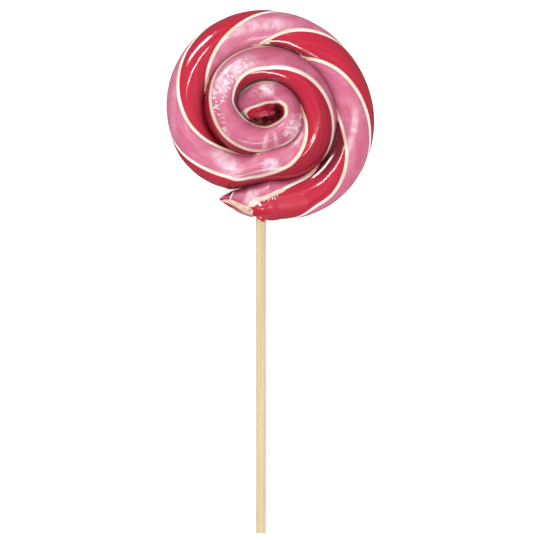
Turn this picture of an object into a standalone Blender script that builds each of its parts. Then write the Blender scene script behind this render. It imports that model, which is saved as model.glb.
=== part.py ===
"""Swirl lollipop: a twisted rope of pulled sugar coiled on a wooden stick, lying on its flat back.

Four sugar strands, red and pink by turns, run the whole length of the rope with a cream layer
between them. The rope starts at a pinched end above the stick, runs counter-clockwise and climbs
over itself in under three turns to a small hollow at the middle, where its last end tucks under.

Places along the rope are counted in turns of the coil from the foot of the head, where the stick
goes in. Lengths are in millimetres until a mesh is made. In a section of the rope, angle 0 points
away from the coil's axis, 90 up and 180 towards it.
"""

import math

import bpy
from mathutils import Vector

MM = 0.001

# The rope's outer radius, as (turn, value) keys of a smooth curve
FIRST_TURN, LAST_TURN = -0.0855, 2.859375
OUTER_RADIUS = (
    (-0.09, 39.9), (-0.05, 40.6), (0.00, 40.7), (0.06, 41.2), (0.25, 40.8), (0.55, 40.3),
    (0.74, 40.6), (0.81, 40.2), (0.86, 38.3), (0.92, 34.1), (0.96, 28.9), (1.00, 26.5),
    (1.08, 26.5), (1.40, 26.6), (1.70, 26.6), (1.80, 24.6), (1.90, 20.2), (2.00, 15.9),
    (2.08, 14.5), (2.40, 13.8), (2.66, 13.9), (2.72, 13.2), (2.77, 11.4), (2.82, 6.2),
    (2.86, 2.4),
)

# Its other sizes, as (turn, value) steps: level before the first and after the last, and eased
# in between
HALF_WIDTH = ((0.75, 8.1), (1.03, 7.6), (1.72, 7.6), (2.08, 7.3), (2.68, 7.3), (2.86, 1.05))
CREST_HEIGHT = ((0.75, 14.0), (1.03, 16.0), (1.72, 16.0), (2.08, 17.0), (2.45, 17.0), (2.84, 7.0))
AXIS_HEIGHT = ((0.75, 6.6), (1.03, 8.4), (1.70, 8.4), (1.86, 7.5), (2.60, 7.5), (2.86, 5.5))
PRESSED_WIDTH = 1.12
OVALNESS = 0.034
OVAL_DIRECTION = 40.0
BELLY = 1.25

# The pinched outer end
PINCH_LENGTH = 0.084
PINCH_WIDTH = 0.06
PINCH_HEIGHT = 0.4
PINCH_FULLNESS = 0.62

# The hollow at the middle: its rim's radius at each turn, and the bowl that closes it below
RIM = (
    (1.50, 10.6), (1.58, 12.9), (1.63, 13.9), (1.68, 13.8), (1.70, 13.4), (1.72, 12.2),
    (1.75, 10.2), (1.78, 8.6), (1.83, 6.2), (1.90, 4.3), (2.00, 2.8), (2.12, 2.6), (2.25, 4.2),
    (2.34, 4.2), (2.42, 3.0), (2.50, 2.3), (2.62, 2.2), (2.75, 1.2), (2.86, 0.3),
)
BOWL_START = 1.82
BOWL_ANGLES = (150.0, 35.0)
BOWL_REACH = 0.3
BOWL_FULLNESS = 1.7

# How the strands wind: the angle of the first cream layer in the section, in degrees
ROLL = (
    (-0.10, 54), (-0.04, 76), (0.00, 99), (0.05, 129), (0.11, 142), (0.22, 213), (0.36, 280),
    (0.44, 335), (0.56, 430), (0.66, 484), (0.76, 537), (0.81, 568), (0.85, 593), (0.90, 606),
    (0.94, 598), (0.98, 592), (1.04, 610), (1.12, 640), (1.22, 670), (1.36, 700), (1.50, 732),
    (1.60, 741), (1.69, 768), (1.74, 777), (1.80, 778), (1.90, 772), (2.00, 762), (2.10, 760),
    (2.18, 752), (2.28, 720), (2.36, 720), (2.45, 751), (2.58, 755), (2.65, 740), (2.70, 711),
    (2.75, 684), (2.80, 668), (2.86, 664),
)
# How far the first and third cream layers leave their even spacing, in degrees: the first where
# the innermost turn lies against the one around it, the third where the rope tucks under itself
LAYER_SHIFTS = {
    0: ((1.42, 0), (1.50, 12), (1.58, 12), (1.66, 0)),
    2: ((2.60, 0), (2.76, 55)),
}
STRANDS = ("red_strand_1", "pink_strand_1", "red_strand_2", "pink_strand_2")
CREAM_THICKNESS = 1.2
CREAM_FULL_WIDTH = 5.0

# Where two turns press on each other, this turn and those before it give way to the next one in
OVERLAP_TURNS = (1.50, 1.66)
GAP = 0.3
TURN_GAP = 0.45

# The stick
STICK_DIAMETER = 4.0
STICK_OFFSET = -3.5
STICK_HEIGHT = 6.6
STICK_TOP = -22.0
STICK_FOOT = -162.6
STICK_CHAMFER = 0.35

# Facets
RINGS_PER_TURN = 32
PINCH_RINGS = 6
STRAND_POINTS = 7
STICK_SIDES = 32
CHAMFER_FACETS = 2
SHARP_ANGLE = 65.0

# The search for the outline's point at a cream layer's side: widest angle and halvings
EDGE_REACH = 70.0
EDGE_HALVINGS = 18


def smooth(share):
    share = min(1.0, max(0.0, share))
    return share * share * (3 - 2 * share)


def eased(steps, turn):
    """A size of the rope at this turn, from its (turn, value) steps."""
    value = steps[0][1]
    for (start, low), (end, high) in zip(steps, steps[1:]):
        value += (high - low) * smooth((turn - start) / (end - start))
    return value


def along(keys, turn):
    """A smooth curve through (turn, value) keys."""
    turn = min(max(turn, keys[0][0]), keys[-1][0])
    last = len(keys) - 1
    i = max(k for k in range(last) if keys[k][0] <= turn)

    def slope(k):
        before, after = keys[max(k - 1, 0)], keys[min(k + 1, last)]
        return (after[1] - before[1]) / (after[0] - before[0])

    (start, low), (end, high) = keys[i], keys[i + 1]
    span = end - start
    u = (turn - start) / span
    leave, arrive = slope(i) * span, slope(i + 1) * span
    bend = leave + arrive + 2 * (low - high)
    return low + u * (leave + u * (3 * (high - low) - 2 * leave - arrive + u * bend))


class Section:
    """The rope's own outline in the upright plane through the coil's axis at one turn."""

    def __init__(self, turn):
        self.turn = turn
        pinch = min(1.0, max(0.0, (turn - FIRST_TURN) / PINCH_LENGTH)) ** PINCH_FULLNESS
        width = PINCH_WIDTH + (1 - PINCH_WIDTH) * pinch
        height = PINCH_HEIGHT + (1 - PINCH_HEIGHT) * pinch
        oval = math.cos(2 * (2 * math.pi * turn - math.radians(OVAL_DIRECTION)))
        outer = along(OUTER_RADIUS, turn) * (1 + OVALNESS * oval)
        self.outer_half = eased(HALF_WIDTH, turn) * width
        self.middle = outer - self.outer_half
        self.level = eased(AXIS_HEIGHT, turn)
        self.above = (eased(CREST_HEIGHT, turn) - self.level) * height
        self.below = self.level * BELLY * height
        self.inner_half = self.outer_half * PRESSED_WIDTH
        if turn > RIM[0][0]:
            self.inner_half = self.middle - along(RIM, turn)

    def spread(self, z):
        """The share of its full half-width that the rope has at height z."""
        rise = (z - self.level) / (self.above if z > self.level else self.below)
        return math.sqrt(max(0.0, 1 - rise * rise))

    def point(self, angle):
        """The free outline's point at this angle, flattened where the rope lies on its back."""
        c, s = math.cos(math.radians(angle)), math.sin(math.radians(angle))
        z = max(0.0, self.level + (self.above if s > 0 else self.below) * s)
        u = self.middle + (self.outer_half if c > 0 else self.inner_half) * c
        return u, z


class PressedSection(Section):
    """The outline as the neighbouring turns leave it."""

    def __init__(self, turn):
        super().__init__(turn)
        self.inside = Section(turn + 1) if turn + 1 <= LAST_TURN else None
        self.outside = Section(turn - 1) if turn - 1 >= FIRST_TURN else None
        self.axis = Vector((self.middle, self.level))

    @staticmethod
    def reach(inner, outer, z):
        """How far out the inner of two turns reaches at height z, pressed by the outer one."""
        spread = inner.spread(max(inner.level, z - TURN_GAP) if z > inner.level else z)
        if not spread:
            return -math.inf
        free = inner.middle + inner.outer_half * spread
        wall = outer.middle - outer.inner_half * outer.spread(z)
        start, end = OVERLAP_TURNS
        wins = 1 - smooth((outer.turn - start) / (end - start))
        return min(free, wins * free + (1 - wins) * (wall - TURN_GAP))

    def bowl(self, angle, u, limit):
        """The foot of the innermost turn, which runs in to the coil's axis below the hollow."""
        foot = max(BOWL_REACH, limit)
        bottom = self.middle + BOWL_FULLNESS * (self.middle - foot) * math.cos(math.radians(angle))
        return u + (max(foot, bottom) - u) * smooth((angle % 360 - BOWL_ANGLES[0]) / BOWL_ANGLES[1])

    def point(self, angle):
        u, z = super().point(angle)
        if u < self.middle:
            limit = self.reach(self.inside, self, z) + TURN_GAP if self.inside else -math.inf
            if self.turn > BOWL_START and BOWL_ANGLES[0] < angle % 360 < 270:
                u = self.bowl(angle, u, limit)
            u = max(u, limit)
        elif self.outside:
            u = min(u, self.reach(self, self.outside, z))
        return Vector((u, z))

    def edge(self, angle, offset):
        """The outline's point beside the ray at this angle, offset across it."""
        ray = (self.point(angle) - self.axis).normalized()
        near, far = 0.0, math.copysign(EDGE_REACH, offset)
        for _ in range(EDGE_HALVINGS):
            middle = (near + far) / 2
            across = ray.cross(self.point(angle + middle) - self.axis)
            near, far = (middle, far) if abs(across) < abs(offset) else (near, middle)
        return angle + far

    def corner(self, first, second, offset):
        """The point offset from two rays, between them."""
        a = (self.point(first) - self.axis).normalized()
        b = (self.point(second) - self.axis).normalized()
        return self.axis + (a + b) * (offset / abs(a.cross(b)))


def rope_turns():
    """The turns that get a ring: evenly spaced, and closer in the pinched end."""
    pinched = [FIRST_TURN * (1 - k / PINCH_RINGS) for k in range(PINCH_RINGS)]
    return pinched + [k / RINGS_PER_TURN for k in range(int(LAST_TURN * RINGS_PER_TURN) + 1)]


def cream_thickness(section):
    return CREAM_THICKNESS * min(1.0, section.outer_half / CREAM_FULL_WIDTH)


def cream_angles(section):
    """The four cream layers' angles, falling, and the first one again."""
    roll = along(ROLL, section.turn)
    angles = [roll - 90 * k for k in range(len(STRANDS))]
    for layer, steps in LAYER_SHIFTS.items():
        angles[layer] += eased(steps, section.turn)
    return angles + [angles[0] - 360]


def strand_outline(section, number):
    """A wedge of the section between two cream layers, from its point by the rope's axis round."""
    high, low = cream_angles(section)[number : number + 2]
    offset = cream_thickness(section) / 2 + GAP
    start, end = section.edge(low, offset), section.edge(high, -offset)
    steps = [start + (end - start) * k / (STRAND_POINTS - 1) for k in range(STRAND_POINTS)]
    return [section.corner(low, high, offset)] + [section.point(angle) for angle in steps]


def cream_outline(section):
    """The four cream layers, which meet in a cross on the rope's axis."""
    angles = cream_angles(section)
    offset = cream_thickness(section) / 2
    points = []
    for high, low in reversed(list(zip(angles, angles[1:]))):
        points.append(section.point(section.edge(low, -offset)))
        points.append(section.point(section.edge(low, offset)))
        points.append(section.corner(low, high, offset))
    return points


def placed(section, points):
    """The section's points in space, in metres."""
    around = 2 * math.pi * section.turn
    outwards = Vector((math.sin(around), -math.cos(around), 0))
    return [(outwards * u + Vector((0, 0, z))) * MM for u, z in points]


def loft(name, rings, inner, material, collection):
    """A closed solid through rings of points.

    Its walls are split from inner to outer points, so that two walls with a gap between them
    keep it.
    """
    count = len(rings[0])
    faces = [tuple(range(count)), tuple(reversed(range((len(rings) - 1) * count, len(rings) * count)))]
    for i in range(len(rings) - 1):
        for j in range(count):
            k = (j + 1) % count
            a, b = i * count + j, i * count + k
            c, d = b + count, a + count
            falls = k in inner and j not in inner
            faces += [(a, d, b), (b, d, c)] if falls else [(a, d, c), (a, c, b)]
    mesh = bpy.data.meshes.new(name)
    mesh.from_pydata([point for ring in rings for point in ring], [], faces)
    mesh.shade_smooth()
    mesh.set_sharp_from_angle(angle=math.radians(SHARP_ANGLE))
    mesh.materials.append(material)
    obj = bpy.data.objects.new(name, mesh)
    collection.objects.link(obj)
    return obj


def cylinder(name, diameter, foot, top, collection):
    """A rod along Y on the stick's line."""
    bpy.ops.mesh.primitive_cylinder_add(
        vertices=STICK_SIDES,
        radius=diameter / 2 * MM,
        depth=(top - foot) * MM,
        location=(STICK_OFFSET * MM, (top + foot) / 2 * MM, STICK_HEIGHT * MM),
        rotation=(math.radians(90), 0, 0),
    )
    obj = bpy.context.object
    obj.name = obj.data.name = name
    for owner in list(obj.users_collection):
        owner.objects.unlink(obj)
    collection.objects.link(obj)
    return obj


def make_stick(material, collection):
    stick = cylinder("stick", STICK_DIAMETER, STICK_FOOT, STICK_TOP, collection)
    rounding = stick.modifiers.new("rounded_ends", "BEVEL")
    rounding.width = STICK_CHAMFER * MM
    rounding.segments = CHAMFER_FACETS
    rounding.limit_method = "ANGLE"
    stick.data.materials.append(material)
    stick.data.shade_smooth()
    stick.data.set_sharp_from_angle(angle=math.radians(SHARP_ANGLE / 2))
    return stick


def make_material(name, colour, roughness):
    material = bpy.data.materials.new(name)
    material.use_nodes = True
    material.diffuse_color = colour + (1,)
    shader = material.node_tree.nodes["Principled BSDF"]
    shader.inputs["Base Color"].default_value = colour + (1,)
    shader.inputs["Roughness"].default_value = roughness
    shader.inputs["Metallic"].default_value = 0.0
    return material


def make_collection(name):
    collection = bpy.data.collections.new(name)
    bpy.context.scene.collection.children.link(collection)
    return collection


def bore(obj, cutter):
    """The hole that the stick sits in."""
    cut = obj.modifiers.new("stick_bore", "BOOLEAN")
    cut.operation = "DIFFERENCE"
    cut.solver = "EXACT"
    cut.object = cutter


def stand_on_origin(parts, others):
    """Moves everything so that the origin is under the middle of the parts' box."""
    corners = [obj.matrix_world @ Vector(c) for obj in parts for c in obj.bound_box]
    middle = [(min(c[k] for c in corners) + max(c[k] for c in corners)) / 2 for k in range(2)]
    for obj in parts + others:
        obj.location -= Vector((middle[0], middle[1], 0))


def main():
    for obj in list(bpy.data.objects):
        bpy.data.objects.remove(obj)
    parts_collection = make_collection("swirl_lollipop")
    cutters = make_collection("cutters")
    cutters.hide_render = True

    sugar = {
        "red": make_material("red_sugar", (0.60, 0.025, 0.055), 0.12),
        "pink": make_material("pink_sugar", (0.72, 0.16, 0.29), 0.3),
        "cream": make_material("cream_sugar", (0.88, 0.79, 0.66), 0.35),
    }
    wood = make_material("wood", (0.78, 0.62, 0.38), 0.6)

    sections = [PressedSection(turn) for turn in rope_turns()]
    parts = []
    for number, name in enumerate(STRANDS):
        rings = [placed(section, strand_outline(section, number)) for section in sections]
        parts.append(loft(name, rings, {0}, sugar[name.split("_")[0]], parts_collection))
    rings = [placed(section, cream_outline(section)) for section in sections]
    parts.append(loft("cream_layers", rings, {2, 5, 8, 11}, sugar["cream"], parts_collection))

    cutter = cylinder("stick_bore", STICK_DIAMETER + 2 * GAP, STICK_FOOT, STICK_TOP + GAP, cutters)
    cutter.hide_render = True
    cutter.display_type = "WIRE"
    for part in parts:
        bore(part, cutter)
    parts.append(make_stick(wood, parts_collection))
    bpy.context.view_layer.update()
    stand_on_origin(parts, [cutter])


main()
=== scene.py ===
import math

import bpy
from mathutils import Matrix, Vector, noise


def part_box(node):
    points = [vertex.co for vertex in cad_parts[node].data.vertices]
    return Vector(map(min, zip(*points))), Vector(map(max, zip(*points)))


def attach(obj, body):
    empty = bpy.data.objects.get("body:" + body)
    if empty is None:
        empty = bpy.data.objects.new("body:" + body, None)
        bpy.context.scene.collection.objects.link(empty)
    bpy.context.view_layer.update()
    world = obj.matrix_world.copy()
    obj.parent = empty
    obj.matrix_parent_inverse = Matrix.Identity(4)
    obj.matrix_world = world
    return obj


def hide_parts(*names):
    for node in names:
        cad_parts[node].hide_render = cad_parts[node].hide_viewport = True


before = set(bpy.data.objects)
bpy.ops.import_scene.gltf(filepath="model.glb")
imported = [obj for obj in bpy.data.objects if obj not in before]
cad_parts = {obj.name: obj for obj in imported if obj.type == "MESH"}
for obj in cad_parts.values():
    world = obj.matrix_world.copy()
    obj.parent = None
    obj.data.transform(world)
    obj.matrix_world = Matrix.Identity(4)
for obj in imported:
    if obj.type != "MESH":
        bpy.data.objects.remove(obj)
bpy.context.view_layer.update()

MM = 0.001

# The rope's outer radius, as (turn, value) keys of a smooth curve, in millimetres
FIRST_TURN, LAST_TURN = -0.0855, 2.859375
OUTER_RADIUS = (
    (-0.09, 39.9), (-0.05, 40.6), (0.00, 40.7), (0.06, 41.2), (0.25, 40.8), (0.55, 40.3),
    (0.74, 40.6), (0.81, 40.2), (0.86, 38.3), (0.92, 34.1), (0.96, 28.9), (1.00, 26.5),
    (1.08, 26.5), (1.40, 26.6), (1.70, 26.6), (1.80, 24.6), (1.90, 20.2), (2.00, 15.9),
    (2.08, 14.5), (2.40, 13.8), (2.66, 13.9), (2.72, 13.2), (2.77, 11.4), (2.82, 6.2),
    (2.86, 2.4),
)

# Its other sizes, as (turn, value) steps: level before the first and after the last, and eased
# in between
HALF_WIDTH = ((0.75, 8.1), (1.03, 7.6), (1.72, 7.6), (2.08, 7.3), (2.68, 7.3), (2.86, 1.05))
CREST_HEIGHT = ((0.75, 14.0), (1.03, 16.0), (1.72, 16.0), (2.08, 17.0), (2.45, 17.0), (2.84, 7.0))
AXIS_HEIGHT = ((0.75, 6.6), (1.03, 8.4), (1.70, 8.4), (1.86, 7.5), (2.60, 7.5), (2.86, 5.5))
PRESSED_WIDTH = 1.12
OVALNESS = 0.034
OVAL_DIRECTION = 40.0
BELLY = 1.25

# The pinched outer end
PINCH_LENGTH = 0.084
PINCH_WIDTH = 0.06
PINCH_HEIGHT = 0.4
PINCH_FULLNESS = 0.62

# The hollow at the middle: its rim's radius at each turn, and the bowl that closes it below
RIM = (
    (1.50, 10.6), (1.58, 12.9), (1.63, 13.9), (1.68, 13.8), (1.70, 13.4), (1.72, 12.2),
    (1.75, 10.2), (1.78, 8.6), (1.83, 6.2), (1.90, 4.3), (2.00, 2.8), (2.12, 2.6), (2.25, 4.2),
    (2.34, 4.2), (2.42, 3.0), (2.50, 2.3), (2.62, 2.2), (2.75, 1.2), (2.86, 0.3),
)
BOWL_START = 1.82
BOWL_ANGLES = (150.0, 35.0)
BOWL_REACH = 0.05
BOWL_FULLNESS = 1.7

# How the strands wind: the angle of the first cream layer in the section, in degrees
ROLL = (
    (-0.10, 54), (-0.04, 76), (0.00, 99), (0.05, 129), (0.11, 142), (0.22, 213), (0.36, 280),
    (0.44, 335), (0.56, 430), (0.66, 484), (0.76, 537), (0.81, 568), (0.85, 593), (0.90, 606),
    (0.94, 598), (0.98, 592), (1.04, 610), (1.12, 640), (1.22, 670), (1.36, 700), (1.50, 732),
    (1.60, 741), (1.69, 768), (1.74, 777), (1.80, 778), (1.90, 772), (2.00, 762), (2.10, 760),
    (2.18, 752), (2.28, 720), (2.36, 720), (2.45, 751), (2.58, 755), (2.65, 740), (2.70, 711),
    (2.75, 684), (2.80, 668), (2.86, 664),
)
# How far the first and third cream layers leave their even spacing, in degrees: the first where
# the innermost turn lies against the one around it, the third where the rope tucks under itself
LAYER_SHIFTS = {
    0: ((1.42, 0), (1.50, 12), (1.58, 12), (1.66, 0)),
    1: ((-0.03, 0), (0.00, -22), (0.035, -22), (0.08, 0)),
    2: ((2.60, 0), (2.76, 55)),
}
STRANDS = ("red_strand_1", "pink_strand_1", "red_strand_2", "pink_strand_2")
CREAM_THICKNESS = 1.6
CREAM_FULL_WIDTH = 5.0

# Where two turns press on each other, this turn and those before it give way to the next one in
OVERLAP_TURNS = (1.50, 1.66)
TURN_GAP = 0.06

# The stick's place from the coil's axis
STICK_OFFSET = -3.5
STICK_TOP = -22.0

# The skin of the sugar: it keeps inside the outline, and each strand and cream line swells a little
SKIN_INSET = 0.38
STRAND_SWELL = 0.20
CREAM_SWELL = 0.10
UNEVENNESS = 0.09
UNEVEN_LENGTH = 7.0
FREE_ROOM = 1.2

# Patches where a highlight is painted on the pulled sugar and the clear sugar is made matt, and where
# the sugar is finely wrinkled across the rope, with painted glints on the wrinkles, as (turn,
# radius, length either way in turns, width either way, strength)
HIGHLIGHT_AND_MATT_PATCHES = (
    (0.885, 25.2, 0.055, 4.4, 0.75), (1.005, 20.2, 0.034, 3.8, 0.85), (0.520, 34.6, 0.080, 3.4, 0.60),
    (0.215, 33.0, 0.060, 1.8, 0.70), (1.625, 21.6, 0.100, 4.0, 0.80), (2.515, 9.9, 0.060, 4.2, 0.85),
    (2.170, 10.6, 0.090, 3.6, 0.50), (1.975, 11.6, 0.016, 4.6, 0.55), (2.035, 11.2, 0.016, 4.6, 0.55),
    (-0.034, 33.0, 0.016, 4.5, 0.65), (0.740, 37.6, 0.060, 1.6, 0.2),
    (0.030, 36.0, 0.045, 5.0, 1.0),
)
WRINKLES = ((1.70, 21.0, 0.19, 4.4, 1.0), (2.17, 11.0, 0.10, 4.0, 1.0), (2.56, 9.0, 0.10, 3.6, 0.3))

# Where shade is painted on the sugar: in the shade of the turn inside it, and where the pinch turns it down
DIM = ((0.165, 28.6, 0.085, 5.0, 0.85), (-0.064, 34.5, 0.026, 4.5, 0.60))

# The painted shade in the crease beside the turn inside and in the one beside the turn outside: width
# and darkness
INNER_CREASE = (3.0, 1.0)
OUTER_CREASE = (1.0, 0.40)
# Where the rope starts to line the hollow, how far below the crest the painted shade on its walls
# is full, and the turns between which that painted shade fades out again
HOLLOW_START = 1.80
HOLLOW_DEPTH = 5.0
SHADED_WALL_TURNS = (2.28, 2.42)
# How much of its depth shading the outer side keeps
OUTER_SHADE = 0.38

# The torn sugar at the pinched end
SHEET_SINK = 0.15
SHEET_DEPTH = 0.7
TURN_UNDER = 22.0
DROP_UNEVENNESS = 0.16

# Facets
RINGS_PER_TURN = 384
FINE_RINGS = 1500
FINE_END = 0.03
SHEET_POINTS = 14
DROP_RINGS = 14
DROP_POINTS = 18
STRAND_POINTS = 26
CREAM_POINTS = 6
SHARP_ANGLE = 55.0
EDGE_REACH = 70.0
EDGE_HALVINGS = 16


def smooth(share):
    share = min(1.0, max(0.0, share))
    return share * share * (3 - 2 * share)


def eased(steps, turn):
    """A size of the rope at this turn, from its (turn, value) steps."""
    value = steps[0][1]
    for (start, low), (end, high) in zip(steps, steps[1:]):
        value += (high - low) * smooth((turn - start) / (end - start))
    return value


def along(keys, turn):
    """A smooth curve through (turn, value) keys."""
    turn = min(max(turn, keys[0][0]), keys[-1][0])
    last = len(keys) - 1
    i = max(k for k in range(last) if keys[k][0] <= turn)

    def slope(k):
        before, after = keys[max(k - 1, 0)], keys[min(k + 1, last)]
        return (after[1] - before[1]) / (after[0] - before[0])

    (start, low), (end, high) = keys[i], keys[i + 1]
    span = end - start
    u = (turn - start) / span
    leave, arrive = slope(i) * span, slope(i + 1) * span
    bend = leave + arrive + 2 * (low - high)
    return low + u * (leave + u * (3 * (high - low) - 2 * leave - arrive + u * bend))


class Section:
    """The rope's own outline in the upright plane through the coil's axis at one turn."""

    def __init__(self, turn):
        self.turn = turn
        pinch = min(1.0, max(0.0, (turn - FIRST_TURN) / PINCH_LENGTH)) ** PINCH_FULLNESS
        width = PINCH_WIDTH + (1 - PINCH_WIDTH) * pinch
        height = PINCH_HEIGHT + (1 - PINCH_HEIGHT) * pinch
        oval = math.cos(2 * (2 * math.pi * turn - math.radians(OVAL_DIRECTION)))
        outer = along(OUTER_RADIUS, turn) * (1 + OVALNESS * oval)
        self.outer_half = eased(HALF_WIDTH, turn) * width
        self.middle = outer - self.outer_half
        self.level = eased(AXIS_HEIGHT, turn)
        self.above = (eased(CREST_HEIGHT, turn) - self.level) * height
        self.below = self.level * BELLY * height
        self.inner_half = self.outer_half * PRESSED_WIDTH
        if turn > RIM[0][0]:
            self.inner_half = self.middle - along(RIM, turn)

    def spread(self, z):
        """The share of its full half-width that the rope has at height z."""
        rise = (z - self.level) / (self.above if z > self.level else self.below)
        return math.sqrt(max(0.0, 1 - rise * rise))

    def point(self, angle):
        """The free outline's point at this angle, flattened where the rope lies on its back."""
        c, s = math.cos(math.radians(angle)), math.sin(math.radians(angle))
        z = max(0.0, self.level + (self.above if s > 0 else self.below) * s)
        u = self.middle + (self.outer_half if c > 0 else self.inner_half) * c
        return u, z


class PressedSection(Section):
    """The outline as the neighbouring turns leave it."""

    def __init__(self, turn):
        super().__init__(turn)
        self.inside = Section(turn + 1) if turn + 1 <= LAST_TURN else None
        self.outside = Section(turn - 1) if turn - 1 >= FIRST_TURN else None
        self.axis = Vector((self.middle, self.level))

    @staticmethod
    def reach(inner, outer, z):
        """How far out the inner of two turns reaches at height z, pressed by the outer one."""
        spread = inner.spread(max(inner.level, z - TURN_GAP) if z > inner.level else z)
        if not spread:
            return -math.inf
        free = inner.middle + inner.outer_half * spread
        wall = outer.middle - outer.inner_half * outer.spread(z)
        start, end = OVERLAP_TURNS
        wins = 1 - smooth((outer.turn - start) / (end - start))
        return min(free, wins * free + (1 - wins) * (wall - TURN_GAP))

    def bowl(self, angle, u, limit):
        """The foot of the innermost turn, which runs in to the coil's axis below the hollow."""
        foot = max(BOWL_REACH, limit)
        bottom = self.middle + BOWL_FULLNESS * (self.middle - foot) * math.cos(math.radians(angle))
        return u + (max(foot, bottom) - u) * smooth((angle % 360 - BOWL_ANGLES[0]) / BOWL_ANGLES[1])

    def point(self, angle):
        u, z = super().point(angle)
        if u < self.middle:
            limit = self.reach(self.inside, self, z) + TURN_GAP if self.inside else -math.inf
            if self.turn > BOWL_START and BOWL_ANGLES[0] < angle % 360 < 270:
                u = self.bowl(angle, u, limit)
            u = max(u, limit)
        elif self.outside:
            u = min(u, self.reach(self, self.outside, z))
        return Vector((u, z))

    def room(self, angle):
        """How far the free outline keeps from the neighbouring turn, less than 0 where they press."""
        u, z = super().point(angle)
        if u < self.middle:
            return u - self.reach(self.inside, self, z) - TURN_GAP if self.inside else math.inf
        return self.reach(self, self.outside, z) - u if self.outside else math.inf

    def edge(self, angle, offset):
        """The outline's point beside the ray at this angle, offset across it."""
        ray = (self.point(angle) - self.axis).normalized()
        near, far = 0.0, math.copysign(EDGE_REACH, offset)
        for _ in range(EDGE_HALVINGS):
            middle = (near + far) / 2
            across = ray.cross(self.point(angle + middle) - self.axis)
            near, far = (middle, far) if abs(across) < abs(offset) else (near, middle)
        return angle + far

    def corner(self, first, second, offset):
        """The point offset from two rays, between them."""
        a = (self.point(first) - self.axis).normalized()
        b = (self.point(second) - self.axis).normalized()
        return self.axis + (a + b) * (offset / abs(a.cross(b)))


class Rope:
    """The rope's sections, and their places in the frame."""

    def __init__(self):
        low, high = (Vector(corner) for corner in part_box("stick"))
        self.centre = Vector(((low.x + high.x) / 2 - STICK_OFFSET * MM, high.y - STICK_TOP * MM, 0))
        fine = int((FINE_END - FIRST_TURN) * FINE_RINGS)
        turns = [FIRST_TURN + k / FINE_RINGS for k in range(fine)]
        first, last = math.ceil(FINE_END * RINGS_PER_TURN), int(LAST_TURN * RINGS_PER_TURN)
        turns += [k / RINGS_PER_TURN for k in range(first, last + 1)]
        self.sections = [PressedSection(turn) for turn in turns]
        self.lengths = [0.0]
        for before, after in zip(self.sections, self.sections[1:]):
            step = 2 * math.pi * after.middle * (after.turn - before.turn)
            self.lengths.append(self.lengths[-1] + step)

    def place(self, section, point):
        """A point of a section, in the frame's metres."""
        around = 2 * math.pi * section.turn
        outwards = Vector((math.sin(around), -math.cos(around), 0))
        return self.centre + (outwards * point.x + Vector((0, 0, point.y))) * MM


def skin(section, angle, swell):
    """A point of the sugar's surface: a little inside the outline, swollen and uneven."""
    point = section.point(angle)
    outwards = point - section.axis
    reach = outwards.length
    if reach < 1e-6:
        return point
    around = 2 * math.pi * section.turn
    spot = Vector((math.sin(around) * point.x, -math.cos(around) * point.x, point.y))
    uneven = noise.noise(spot / UNEVEN_LENGTH) * UNEVENNESS
    free = smooth(section.room(angle) / FREE_ROOM)
    moved = point + outwards / reach * (free * min(0.0, swell + uneven - SKIN_INSET))
    return Vector((moved.x, max(0.0, moved.y) if point.y > 0 else 0.0))


def swell(share, height):
    """How far the surface swells across a strand: nothing at its edges, level in the middle."""
    return height * (1 - abs(2 * share - 1) ** 3)


def cream_half(section):
    return CREAM_THICKNESS / 2 * min(1.0, section.outer_half / CREAM_FULL_WIDTH)


def cream_angles(section):
    """The four cream layers' angles, falling, and the first one again."""
    roll = along(ROLL, section.turn)
    angles = [roll - 90 * k for k in range(len(STRANDS))]
    for layer, steps in LAYER_SHIFTS.items():
        angles[layer] += eased(steps, section.turn)
    return angles + [angles[0] - 360]


def crease_shade(section, angle):
    """How much painted shade a place gets, 0 to 1: in the crease beside the neighbouring turn, in the dim
    patches, and down the walls of the hollow.
    """
    inner = math.cos(math.radians(angle)) < 0
    width, darkness = INNER_CREASE if inner else OUTER_CREASE
    depth = (1 - smooth(section.room(angle) / width)) * darkness
    depth = max(depth, patch(DIM, section.turn, section.point(angle).x))
    if inner and section.turn > HOLLOW_START:
        start, end = SHADED_WALL_TURNS
        dark = 1 - smooth((section.turn - start) / (end - start))
        drop = section.level + section.above - section.point(angle).y
        depth = max(depth, dark * smooth(drop / HOLLOW_DEPTH))
    return depth


def arc(section, start, end, count, height):
    """Points of the skin from one angle to another, with their shares of the way and creases."""
    points = []
    for k in range(count):
        share = k / (count - 1)
        angle = start + (end - start) * share
        points.append((skin(section, angle, swell(share, height)), share, crease_shade(section, angle)))
    return points


def strand_ring(section, number):
    high, low = cream_angles(section)[number : number + 2]
    half = cream_half(section)
    start, end = section.edge(low, half), section.edge(high, -half)
    core = section.corner(low, high, half)
    return [(core, 0.5, 1.0)] + arc(section, start, end, STRAND_POINTS, STRAND_SWELL)


def cream_ring(section):
    angles = cream_angles(section)
    half = cream_half(section)
    ring = []
    for high, low in reversed(list(zip(angles, angles[1:]))):
        ring += arc(section, section.edge(low, -half), section.edge(low, half), CREAM_POINTS, CREAM_SWELL)
        ring.append((section.corner(low, high, half), 0.5, 1.0))
    return ring


def patch(spots, turn, radius):
    """How strongly a place lies in one of these patches, 0 to 1."""
    return max(
        strength
        * smooth(1.6 * (1 - abs(turn - middle) / length))
        * smooth(1.4 * (1 - abs(radius - reach) / width))
        for middle, reach, length, width, strength in spots
    )


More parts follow.
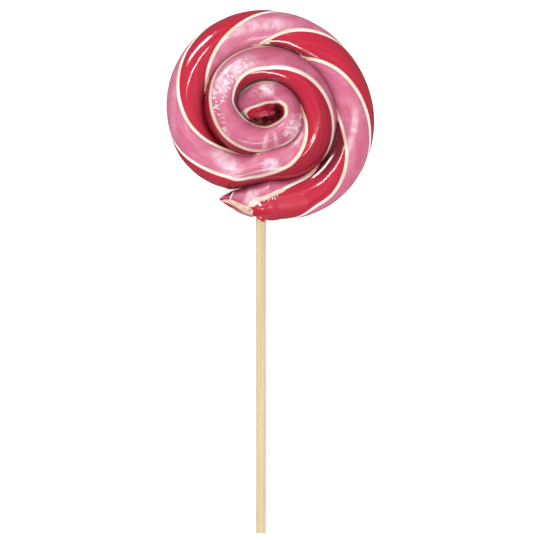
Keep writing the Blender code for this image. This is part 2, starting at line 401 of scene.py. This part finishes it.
def loft(name, rings, material):
    """A closed solid through rings of (place, map values) pairs, where the map values are a dict."""
    count = len(rings[0])
    points = [place for ring in rings for place, _ in ring]
    faces = [tuple(range(count)), tuple(reversed(range((len(rings) - 1) * count, len(rings) * count)))]
    for i in range(len(rings) - 1):
        for j in range(count):
            k = (j + 1) % count
            a, b = i * count + j, i * count + k
            faces.append((a, a + count, b + count, b))
    mesh = bpy.data.meshes.new(name)
    mesh.from_pydata(points, [], faces)
    marks = [mark for ring in rings for _, mark in ring]
    for kind in MAPS:
        layer = mesh.uv_layers.new(name=kind)
        layer.uv.foreach_set("vector", [x for loop in mesh.loops for x in marks[loop.vertex_index][kind]])
    mesh.shade_smooth()
    mesh.set_sharp_from_angle(angle=math.radians(SHARP_ANGLE))
    mesh.materials.append(material)
    piece = bpy.data.objects.new(name, mesh)
    bpy.context.scene.collection.objects.link(piece)
    return piece


# Each mesh's maps: "rope" (length along the rope in 100 mm, share across the strand), "relief"
# (height as a share of the crest's, for the painted depth shade, and the painted shade in a crease)
# and "shine" (painted highlight on the pulled sugar and matt on the clear sugar, wrinkling)
MAPS = ("rope", "relief", "shine")


def relief(section, point):
    """A point's height as a share of the crest's, for the painted depth shade, where the outer and lit sides
    count as shallow and so keep less of that painted shade.
    """
    share = point.y / (section.level + section.above)
    lit = point.x > section.middle or section.turn > SHADED_WALL_TURNS[1]
    return 1 - (1 - share) * (OUTER_SHADE if lit else 1.0)


def rope_loft(name, rope, rings, material):
    """A closed solid through (section's index, ring) pairs, a ring being (point, share, crease)s."""
    marked = []
    for index, ring in rings:
        section = rope.sections[index]
        marked.append([])
        for point, share, depth in ring:
            shine = patch(HIGHLIGHT_AND_MATT_PATCHES, section.turn, point.x), patch(WRINKLES, section.turn, point.x)
            mark = {
                "rope": (rope.lengths[index] / 100, share),
                "relief": (relief(section, point), depth),
                "shine": shine,
            }
            marked[-1].append((rope.place(section, point), mark))
    return loft(name, marked, material)


def angle_at(section, radius):
    """The angle of the rope's upper side at this radius, and past its edge round below it."""
    across = radius - section.middle
    share = across / (section.outer_half if across > 0 else section.inner_half)
    if share > 1:
        return -TURN_UNDER * (across - section.outer_half)
    return math.degrees(math.acos(max(-1.0, share)))


def raised(section, angle, rise):
    """A point this far out from the skin."""
    point = skin(section, angle, 0.0)
    return point + (point - section.axis).normalized() * rise


def sheet(name, rope, keys, height, fades, material):
    """A thin piece of sugar lying on the rope, as (turn, inner radius, outer radius) keys."""
    inner = [(turn, low) for turn, low, _ in keys]
    outer = [(turn, high) for turn, _, high in keys]
    rings = []
    for index, section in enumerate(rope.sections):
        turn = section.turn
        if not keys[0][0] <= turn <= keys[-1][0]:
            continue
        near, far = along(inner, turn), along(outer, turn)
        start, end = angle_at(section, far), angle_at(section, near)
        metre = 2 * math.pi * section.middle
        full = smooth((turn - keys[0][0]) * metre / fades[0]) * smooth((keys[-1][0] - turn) * metre / fades[1])
        top, under = [], []
        for k in range(SHEET_POINTS):
            share = k / (SHEET_POINTS - 1)
            sides = min(share, 1 - share) * (far - near)
            whole = full * smooth(sides / fades[2])
            angle = start + (end - start) * share
            rise = height * whole - SHEET_SINK * (1 - whole)
            top.append((raised(section, angle, rise), share, crease_shade(section, angle)))
            under.append((raised(section, angle, -SHEET_DEPTH), share, 1.0))
        rings.append((index, top + under[::-1]))
    return rope_loft(name, rope, rings, material)


def drop(name, middle, heading, half_length, half_width, half_height, taper, material):
    """A rounded lump of sugar, tapering along its heading (0 towards +X), in millimetres."""
    forward = Vector((math.cos(math.radians(heading)), math.sin(math.radians(heading)), 0))
    sideways = Vector((-forward.y, forward.x, 0))
    rings = []
    for i in range(DROP_RINGS):
        way = -math.cos(math.pi * (i + 0.3) / (DROP_RINGS - 0.4))
        girth = math.sqrt(1 - way * way) * (1 - taper * way)
        ring = []
        for k in range(DROP_POINTS):
            around = -2 * math.pi * k / DROP_POINTS
            offset = forward * (way * half_length)
            offset += sideways * (math.cos(around) * girth * half_width)
            offset += Vector((0, 0, math.sin(around) * girth * half_height))
            offset *= 1 + DROP_UNEVENNESS * noise.noise(offset * 0.9 + middle)
            mark = {
                "rope": (way * half_length / 100, k / DROP_POINTS),
                "relief": (1.0, 0.0),
                "shine": (0.0, 0.0),
            }
            ring.append(((middle + offset) * MM, mark))
        rings.append(ring)
    return loft(name, rings, material)


class Shader:
    """A short way to add and join a material's nodes."""

    def __init__(self, name):
        self.material = bpy.data.materials.new(name)
        self.material.use_nodes = True
        self.tree = self.material.node_tree
        self.surface = self.tree.nodes["Principled BSDF"]

    def add(self, kind, inputs=None, **settings):
        node = self.tree.nodes.new("ShaderNode" + kind)
        for key, value in settings.items():
            setattr(node, key, value)
        for key, value in (inputs or {}).items():
            self.feed(node, key, value)
        return node

    def feed(self, node, key, value):
        if isinstance(value, bpy.types.NodeSocket):
            self.tree.links.new(value, node.inputs[key])
        else:
            node.inputs[key].default_value = value

    def set(self, **values):
        for key, value in values.items():
            self.feed(self.surface, key.replace("_", " "), value)

    def places(self):
        """Where a point is: along and across its strand, in space, and its height and crease shade, which set
        its painted shade.
        """
        uv = self.add("UVMap", uv_map="rope").outputs["UV"]
        place = self.add("TexCoord").outputs["Object"]
        relief = self.add("UVMap", uv_map="relief").outputs["UV"]
        parts = self.add("SeparateXYZ", {"Vector": relief})
        return uv, place, parts.outputs["X"], parts.outputs["Y"]

    def shine(self):
        """How strongly the sugar here has a painted highlight, made matt on the clear sugar, and how wrinkled
        it is.
        """
        parts = self.add("SeparateXYZ", {"Vector": self.add("UVMap", uv_map="shine").outputs["UV"]})
        return parts.outputs["X"], parts.outputs["Y"]

    def times(self, first, second):
        node = self.add("Math", operation="MULTIPLY")
        self.feed(node, 0, first)
        self.feed(node, 1, second)
        return node.outputs["Value"]

    def noise(self, place, scale, detail=3.0, roughness=0.5):
        node = self.add("TexNoise", {"Vector": place, "Scale": scale, "Detail": detail, "Roughness": roughness})
        return node.outputs["Fac"]

    def stretched(self, place, scale):
        return self.add("Mapping", {"Vector": place, "Scale": scale}).outputs["Vector"]

    def ramp(self, fac, *stops):
        """A colour ramp through (position, colour) stops."""
        node = self.add("ValToRGB", {"Fac": fac})
        elements = node.color_ramp.elements
        while len(elements) < len(stops):
            elements.new(0.5)
        for element, (position, colour) in zip(elements, stops):
            element.position = position
            element.color = tuple(colour) + (1,)
        return node.outputs["Color"]

    def mix(self, fac, first, second, blend="MIX"):
        node = self.add("Mix", data_type="RGBA", blend_type=blend)
        self.feed(node, "Factor", fac)
        self.tree.links.new(first, node.inputs["A"])
        if isinstance(second, bpy.types.NodeSocket):
            self.tree.links.new(second, node.inputs["B"])
        else:
            node.inputs["B"].default_value = tuple(second) + (1,)
        return node.outputs["Result"]

    def spread(self, value, low, high, to_low, to_high):
        return self.add(
            "MapRange",
            {"Value": value, "From Min": low, "From Max": high, "To Min": to_low, "To Max": to_high},
        ).outputs["Result"]

    def bump(self, height, strength, distance):
        node = self.add("Bump", {"Height": height, "Strength": strength, "Distance": distance})
        self.feed(self.surface, "Normal", node.outputs["Normal"])


def red_sugar(name, brightness):
    """Clear boiled sugar: deep red and glossy, with painted shade where it falls away into a groove."""
    shader = Shader(name)
    uv, place, height, crease_shade = shader.places()
    matt = shader.shine()[0]
    streaks = shader.noise(shader.stretched(uv, (3.0, 9.0, 1.0)), 1.0, 4.0)
    clouds = shader.noise(place, 90.0, 2.0)
    colour = shader.ramp(
        streaks, (0.25, (0.45, 0.014, 0.036)), (0.50, (0.52, 0.021, 0.052)), (0.78, (0.60, 0.034, 0.078))
    )
    colour = shader.mix(shader.spread(clouds, 0.35, 0.7, 0.0, 0.35), colour, (0.52, 0.010, 0.030))
    # Painted shade: darker the lower a point lies on the rope, into the grooves and towards its outline
    depth = shader.ramp(
        height,
        (0.25, (0.02, 0.01, 0.01)), (0.55, (0.18, 0.12, 0.12)), (0.82, (0.56, 0.46, 0.44)), (0.98, (1, 1, 1)),
    )
    colour = shader.mix(1.0, colour, depth, "MULTIPLY")
    # Painted shade in the creases and down the hollow's walls
    shade = shader.ramp(crease_shade, (0.0, (brightness,) * 3), (0.9, (0.30 * brightness,) * 3))
    colour = shader.mix(1.0, colour, shade, "MULTIPLY")
    rough = shader.spread(shader.noise(place, 400.0, 3.0), 0.3, 0.7, 0.10, 0.17)
    rough = shader.mix(matt, rough, (0.5, 0.5, 0.5))
    shader.set(Base_Color=colour, Roughness=rough, IOR=1.5, Subsurface_Weight=0.12)
    shader.set(Subsurface_Radius=(0.0024, 0.0004, 0.0005), Subsurface_Scale=1.0)
    shader.set(Coat_Weight=shader.spread(matt, 0.0, 0.8, 0.5, 0.05), Coat_Roughness=0.05)
    shader.bump(shader.noise(place, 260.0, 3.0), 0.10, 0.0004)
    return shader.material


def pink_sugar():
    """Pulled sugar: pink with faint streaks along the strand, with painted highlights and wrinkles with painted
    glints in patches.
    """
    shader = Shader("pink_sugar_look")
    uv, place, height, crease_shade = shader.places()
    highlight_patch, wrinkled = shader.shine()
    streaks = shader.noise(shader.stretched(uv, (2.5, 12.0, 1.0)), 1.0, 5.0, 0.6)
    bands = shader.noise(shader.stretched(uv, (16.0, 1.6, 1.0)), 1.0, 3.0, 0.55)
    fine = shader.noise(shader.stretched(uv, (95.0, 4.5, 1.0)), 1.0, 2.0, 0.5)
    colour = shader.ramp(
        streaks, (0.25, (0.53, 0.098, 0.190)), (0.50, (0.60, 0.135, 0.240)), (0.80, (0.66, 0.195, 0.310))
    )
    colour = shader.mix(shader.spread(bands, 0.45, 0.75, 0.0, 0.35), colour, (0.82, 0.40, 0.52))
    across = shader.noise(shader.stretched(uv, (34.0, 2.2, 1.0)), 1.0, 4.0, 0.6)
    # Painted highlight: pale patches where reflections of the softboxes are painted on the pink
    painted_highlight = shader.times(highlight_patch, shader.spread(across, 0.36, 0.62, 0.30, 1.0))
    colour = shader.mix(painted_highlight, colour, (0.93, 0.74, 0.81))
    # Painted glints: the ridges of the wrinkles are painted near-white
    ridges = shader.spread(fine, 0.50, 0.62, 0.0, 1.0)
    colour = shader.mix(shader.times(shader.times(wrinkled, ridges), 0.95), colour, (0.95, 0.84, 0.88))
    # Painted shade: darker the lower a point lies on the rope, into the grooves and towards its outline
    depth = shader.ramp(
        height,
        (0.20, (0.16, 0.06, 0.10)), (0.50, (0.42, 0.30, 0.35)), (0.80, (0.80, 0.74, 0.77)), (0.97, (1, 1, 1)),
    )
    colour = shader.mix(0.9, colour, depth, "MULTIPLY")
    # Painted shade in the creases and down the hollow's walls
    shade = shader.ramp(crease_shade, (0.0, (1, 1, 1)), (0.9, (0.70, 0.54, 0.60)))
    colour = shader.mix(1.0, colour, shade, "MULTIPLY")
    rough = shader.spread(bands, 0.3, 0.7, 0.38, 0.26)
    shader.set(Base_Color=colour, Roughness=rough, IOR=1.5, Subsurface_Weight=0.12)
    shader.set(Subsurface_Radius=(0.0020, 0.0007, 0.0010), Subsurface_Scale=1.0)
    shader.set(Coat_Weight=0.6, Coat_Roughness=0.18)
    grain = shader.noise(shader.stretched(uv, (30.0, 30.0, 1.0)), 1.0, 4.0, 0.6)
    shader.bump(shader.mix(shader.spread(wrinkled, 0.0, 1.0, 0.2, 0.9), grain, fine), 0.35, 0.0006)
    return shader.material


def cream_sugar():
    """Opaque pulled sugar, warm white, yellower in places and browner along its edges."""
    shader = Shader("cream_sugar_look")
    uv, place, height, crease_shade = shader.places()
    patches = shader.noise(place, 60.0, 3.0)
    across = shader.add("SeparateXYZ", {"Vector": uv}).outputs["Y"]
    colour = shader.ramp(
        patches, (0.36, (0.78, 0.63, 0.47)), (0.50, (0.85, 0.77, 0.66)), (0.62, (0.91, 0.88, 0.84))
    )
    band = shader.ramp(
        across, (0.0, (0.66, 0.42, 0.30)), (0.22, (1, 1, 1)), (0.86, (1, 1, 1)), (1.0, (0.80, 0.62, 0.50))
    )
    colour = shader.mix(0.7, colour, band, "MULTIPLY")
    # Painted shade: darker the lower a point lies on the rope, into the grooves and towards its outline
    depth = shader.ramp(
        height, (0.38, (0.20, 0.05, 0.05)), (0.60, (0.66, 0.50, 0.42)), (0.85, (1, 1, 1))
    )
    colour = shader.mix(0.9, colour, depth, "MULTIPLY")
    # Painted shade in the creases and down the hollow's walls
    shade = shader.ramp(crease_shade, (0.0, (1, 1, 1)), (0.9, (0.70, 0.46, 0.40)))
    colour = shader.mix(1.0, colour, shade, "MULTIPLY")
    rough = shader.spread(patches, 0.3, 0.7, 0.28, 0.42)
    shader.set(Base_Color=colour, Roughness=rough, IOR=1.5, Subsurface_Weight=0.2)
    shader.set(Subsurface_Radius=(0.0010, 0.0008, 0.0005), Subsurface_Scale=1.0)
    shader.set(Coat_Weight=0.4, Coat_Roughness=0.15)
    shader.bump(shader.noise(place, 500.0, 3.0), 0.12, 0.0003)
    return shader.material


def torn_sugar(name, dark, pale, coat):
    """Sugar where it tore: duller, drawn out in fine streaks across the rope."""
    shader = Shader(name)
    uv, place, height, crease_shade = shader.places()
    streaks = shader.noise(shader.stretched(uv, (40.0, 2.0, 1.0)), 1.0, 4.0, 0.6)
    patches = shader.noise(place, 240.0, 3.0)
    colour = shader.ramp(streaks, (0.35, dark), (0.60, pale))
    colour = shader.mix(shader.spread(patches, 0.4, 0.7, 0.0, 0.6), colour, pale)
    shader.set(Base_Color=colour, Roughness=shader.spread(patches, 0.3, 0.7, 0.30, 0.45), IOR=1.5)
    shader.set(Coat_Weight=coat, Coat_Roughness=0.2)
    shader.bump(streaks, 0.3, 0.0004)
    return shader.material


def wood():
    """Plain pale birch with its grain along the stick."""
    shader = Shader("wood_look")
    place = shader.add("TexCoord").outputs["Object"]
    grain = shader.noise(shader.stretched(place, (1600.0, 22.0, 1600.0)), 1.0, 4.0, 0.6)
    tone = shader.noise(shader.stretched(place, (150.0, 18.0, 150.0)), 1.0, 2.0)
    colour = shader.ramp(
        grain, (0.28, (0.51, 0.38, 0.22)), (0.52, (0.64, 0.53, 0.33)), (0.78, (0.71, 0.61, 0.41))
    )
    colour = shader.mix(shader.spread(tone, 0.4, 0.7, 0.0, 0.4), colour, (0.60, 0.48, 0.30))
    shader.set(Base_Color=colour, Roughness=0.62, IOR=1.45)
    shader.bump(grain, 0.25, 0.0003)
    return shader.material


def floor_look():
    shader = Shader("floor_look")
    place = shader.add("TexCoord").outputs["Object"]
    colour = shader.ramp(shader.noise(place, 4.0), (0.0, (0.93, 0.93, 0.93)), (1.0, (0.96, 0.96, 0.96)))
    shader.set(Base_Color=colour, Roughness=0.9, Emission_Color=(1, 1, 1, 1), Emission_Strength=0.70)
    return shader.material


def make_rope(rope, looks):
    """The four strands' skins and the cream lines between them, each in place of its solid."""
    for number, name in enumerate(STRANDS):
        colour = name.split("_")[0]
        rings = [(i, strand_ring(section, number)) for i, section in enumerate(rope.sections)]
        piece = rope_loft(name + "_skin", rope, rings, looks[colour])
        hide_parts(name)
        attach(piece, "root")
    rings = [(i, cream_ring(section)) for i, section in enumerate(rope.sections)]
    piece = rope_loft("cream_lines", rope, rings, looks["cream"])
    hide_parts("cream_layers")
    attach(piece, "root")


# The torn pieces at the pinched end, as (name, look, height, how far its start, end and sides
# take to rise, (turn, inner radius, outer radius)s)
TORN_SHEETS = (
    ("torn_pink", "pink", 0.30, (0.5, 3.5, 1.6), (
        (-0.0700, 30.0, 37.2), (-0.0600, 28.0, 37.6), (-0.0500, 27.0, 37.6), (-0.0400, 27.0, 37.8),
        (-0.0300, 28.0, 37.4), (-0.0180, 29.5, 34.5),
    )),
    ("torn_face", "torn", 0.36, (0.4, 0.5, 0.4), (
        (-0.0835, 38.2, 39.1), (-0.0760, 36.9, 38.8), (-0.0690, 36.3, 38.6), (-0.0600, 36.3, 38.7),
        (-0.0500, 36.5, 39.1), (-0.0400, 36.8, 39.8), (-0.0320, 36.9, 40.1), (-0.0260, 37.4, 39.8),
    )),
    ("torn_lip", "lip", 0.62, (7.0, 1.5, 0.8), (
        (-0.0760, 38.4, 40.8), (-0.0660, 38.2, 42.0), (-0.0560, 38.5, 43.0), (-0.0440, 38.9, 43.5),
        (-0.0320, 39.2, 43.5), (-0.0220, 39.2, 42.5),
    )),
    ("torn_tip", "tip", 0.36, (0.3, 0.4, 0.3), (
        (-0.0850, 38.4, 39.0), (-0.0800, 36.1, 38.4), (-0.0740, 33.4, 37.6), (-0.0700, 32.2, 37.0),
        (-0.0675, 31.6, 36.4),
    )),
    ("torn_rim", "lump", 0.55, (0.3, 0.3, 0.4), (
        (-0.0722, 34.6, 35.6), (-0.0708, 33.2, 36.6), (-0.0690, 31.8, 36.8), (-0.0676, 31.2, 35.8),
    )),
    ("torn_line", "line", 0.45, (0.3, 10.0, 0.35), (
        (-0.0300, 32.9, 34.4), (-0.0140, 31.8, 34.2), (0.0110, 29.6, 31.8), (0.0475, 27.7, 29.8),
    )),
    ("torn_red", "red", 0.80, (0.4, 5.0, 0.9), (
        (-0.0335, 37.0, 37.7), (-0.0300, 36.4, 38.1), (-0.0237, 35.4, 38.9), (-0.0199, 35.4, 39.5),
        (-0.0171, 35.4, 40.0), (-0.0120, 35.0, 41.6), (-0.0095, 34.6, 43.0), (0.0000, 33.4, 43.0),
        (0.0240, 33.6, 41.0),
    )),
)
# The lumps there, as (name, look, place from the coil's axis, heading, half sizes, taper)
TORN_LUMPS = (
    ("cream_lump_1", "lump", (-5.6, -34.2, 12.5), 28.0, (3.0, 1.4, 0.7), 0.1),
    ("cream_lump_2", "lump", (-3.7, -35.0, 12.5), 100.0, (1.6, 0.9, 0.6), 0.1),
    ("cream_lump_3", "lump", (-6.0, -35.2, 12.2), 70.0, (1.1, 0.8, 0.6), 0.2),
    ("cream_lump_4", "lump", (-7.6, -35.4, 11.9), 15.0, (1.0, 0.7, 0.7), 0.2),
    ("beige_lump", "torn", (-8.6, -36.6, 11.2), 60.0, (1.1, 0.8, 0.6), 0.0),
    ("red_tongue", "red", (-3.7, -38.7, 9.2), -68.0, (3.3, 2.0, 1.6), 0.35),
    ("cream_nick_1", "cream", (-2.3, -33.6, 14.0), 85.0, (0.55, 0.16, 0.25), 0.3),
    ("cream_nick_2", "cream", (-0.5, -33.3, 14.0), 75.0, (0.60, 0.16, 0.25), 0.3),
    ("cream_nick_3", "cream", (1.0, -32.8, 14.1), 75.0, (0.60, 0.20, 0.25), 0.3),
    ("cream_nick_4", "cream", (1.9, -32.7, 14.1), 95.0, (0.65, 0.20, 0.25), 0.3),
    ("cream_nick_5", "cream", (2.9, -31.7, 14.0), 65.0, (0.50, 0.14, 0.25), 0.3),
    # The hollow's floor and wall lumps: their dark red is painted shade in the hollow
    ("inner_floor", "well", (1.2, 0.7, 7.2), 12.0, (2.6, 1.7, 2.2), 0.3),
    ("inner_wall", "well", (-1.6, 0.7, 6.7), 12.0, (6.0, 3.2, 2.2), 0.0),
)


def make_torn_end(rope, looks):
    """What the pinched end shows: its torn face, the lip below it, lumps and a tongue of red."""
    for name, look, height, fades, keys in TORN_SHEETS:
        piece = sheet(name, rope, keys, height, fades, looks[look])
        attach(piece, "root")
    for name, look, place, heading, sizes, taper in TORN_LUMPS:
        middle = rope.centre / MM + Vector(place)
        piece = drop(name, middle, heading, *sizes, taper, looks[look])
        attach(piece, "root")


# The camera and its frame, in metres
FRAME_WIDTH = 0.2095
FRAME_DROP = 0.0605
CAMERA_DISTANCE = 1.6
OUTLINE_HEIGHT = 0.007
SENSOR = 36.0


def add_camera(rope):
    camera = bpy.data.cameras.new("camera")
    camera.sensor_width = SENSOR
    camera.lens = SENSOR * CAMERA_DISTANCE / FRAME_WIDTH
    camera.clip_end = 10.0
    place = bpy.data.objects.new("camera", camera)
    place.location = rope.centre + Vector((0, -FRAME_DROP, OUTLINE_HEIGHT + CAMERA_DISTANCE))
    bpy.context.scene.collection.objects.link(place)
    bpy.context.scene.camera = place


def add_light(name, target, bearing, tilt, distance, size, power, glossy=True):
    """A softbox seen from target at this bearing (0 towards +X, 90 towards +Y) and tilt from upright."""
    light = bpy.data.lights.new(name, "AREA")
    light.shape = "RECTANGLE"
    light.size, light.size_y = size
    light.energy = power
    bearing, tilt = math.radians(bearing), math.radians(tilt)
    away = Vector((math.cos(bearing) * math.sin(tilt), math.sin(bearing) * math.sin(tilt), math.cos(tilt)))
    place = bpy.data.objects.new(name, light)
    place.location = target + away * distance
    place.rotation_euler = away.to_track_quat("Z", "Y").to_euler()
    place.visible_glossy = glossy
    bpy.context.scene.collection.objects.link(place)


def add_studio(rope):
    bpy.ops.mesh.primitive_plane_add(size=6.0, location=(0, 0, 0))
    floor = bpy.context.object
    floor.name = "floor"
    floor.data.materials.append(floor_look())
    floor.visible_glossy = False
    head = rope.centre + Vector((0, 0, 0.01))
    add_light("overhead", head, -20.0, 24.0, 1.3, (1.1, 1.1), 12.0, glossy=False)
    add_light("upper_left_box", head, 135.0, 60.0, 0.9, (0.34, 0.22), 4.2)
    add_light("lower_box", head, 262.0, 36.0, 0.9, (0.45, 0.10), 2.6)
    add_light("crest_box", head, 136.0, 13.0, 1.1, (0.15, 0.07), 0.9)
    world = bpy.data.worlds.new("studio")
    world.use_nodes = True
    world.node_tree.nodes["Background"].inputs["Color"].default_value = (1, 1, 1, 1)
    world.node_tree.nodes["Background"].inputs["Strength"].default_value = 0.20
    bpy.context.scene.world = world
    bpy.context.scene.view_settings.view_transform = "Standard"


def main():
    rope = Rope()
    looks = {
        "red": red_sugar("red_sugar_look", 1.0),
        "pink": pink_sugar(),
        "cream": cream_sugar(),
        "torn": torn_sugar("torn_sugar_look", (0.58, 0.27, 0.25), (0.78, 0.62, 0.45), 0.4),
        "line": torn_sugar("line_sugar_look", (0.62, 0.47, 0.33), (0.76, 0.64, 0.49), 0.3),
        "lump": torn_sugar("lump_sugar_look", (0.66, 0.55, 0.45), (0.82, 0.76, 0.68), 0.3),
        # A dark, matt red for the lumps in the hollow: painted shade of the hollow
        "well": torn_sugar("well_sugar_look", (0.32, 0.014, 0.035), (0.42, 0.028, 0.060), 0.2),
        "lip": torn_sugar("lip_sugar_look", (0.36, 0.06, 0.13), (0.58, 0.22, 0.30), 0.4),
        # The pinched tip's darker red is painted shade on the red strand's end
        "tip": torn_sugar("tip_sugar_look", (0.24, 0.008, 0.04), (0.36, 0.015, 0.065), 0.1),
    }
    make_rope(rope, looks)
    make_torn_end(rope, looks)
    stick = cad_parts["stick"]
    stick.data.materials.clear()
    stick.data.materials.append(wood())
    add_camera(rope)
    add_studio(rope)


main()
